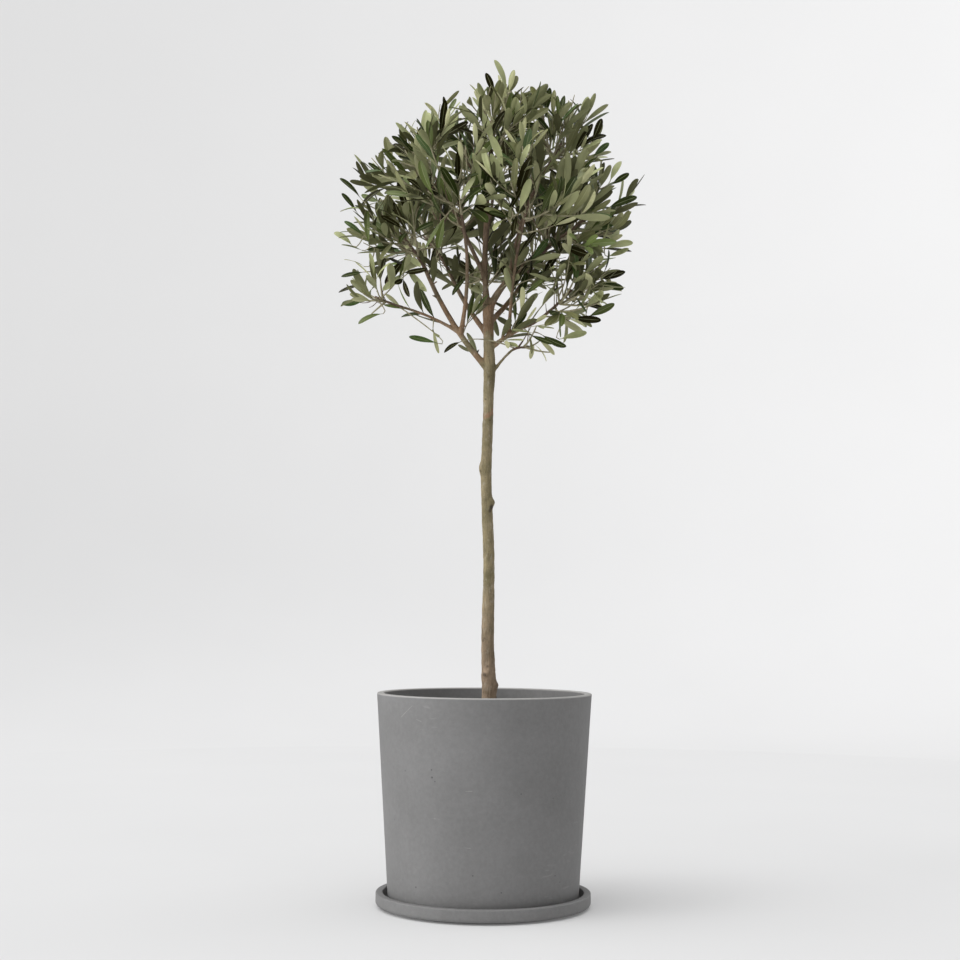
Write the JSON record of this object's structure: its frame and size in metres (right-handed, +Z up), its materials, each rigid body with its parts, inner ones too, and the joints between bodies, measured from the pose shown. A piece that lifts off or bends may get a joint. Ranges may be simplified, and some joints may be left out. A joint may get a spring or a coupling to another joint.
{
  "type": "potted olive tree",
  "caption": "Small standard olive tree with an airy rounded crown on a bare stem, planted in a round tapered grey pot that stands in its matching saucer.",
  "frame": {"origin": "centre of the saucer's flat underside, on the surface that the plant stands on", "axes": "+Z up along the stem, +X to the right and +Y to the back of the plant as seen from its front"},
  "size_m": [0.4683, 0.381, 1.195],
  "materials": {
    "pot": "matte, faintly mottled, with fine pits",
    "soil": "crumbly and dry on top",
    "bark": "smooth grey-brown bark with fine cracks and healed cuts",
    "foliage": "leathery, grey-green above and silvery below"
  },
  "bodies": {
    "root": {"saucer": "pot", "pot": "pot", "soil": "soil", "trunk": "bark", "fork_right": "bark", "leader": "bark", "bough_left": "bark", "bough_low_left": "bark", "bough_front_left": "bark", "bough_right": "bark", "bough_front_right": "bark", "bough_low_right": "bark", "bough_back_left": "bark", "bough_back_right": "bark", "bough_low_back": "bark", "bough_top_left": "bark", "bough_top_right": "bark", "bough_top_back": "bark", "foliage_top": "foliage", "foliage_top_left": "foliage", "foliage_top_right": "foliage", "foliage_top_back": "foliage", "foliage_left": "foliage", "foliage_right": "foliage", "foliage_front_left": "foliage", "foliage_front_right": "foliage", "foliage_back_left": "foliage", "foliage_back_right": "foliage", "foliage_low_left": "foliage", "foliage_low_right": "foliage", "foliage_low_shoot": "foliage", "foliage_low_back": "foliage"}
  },
  "joints": []
}
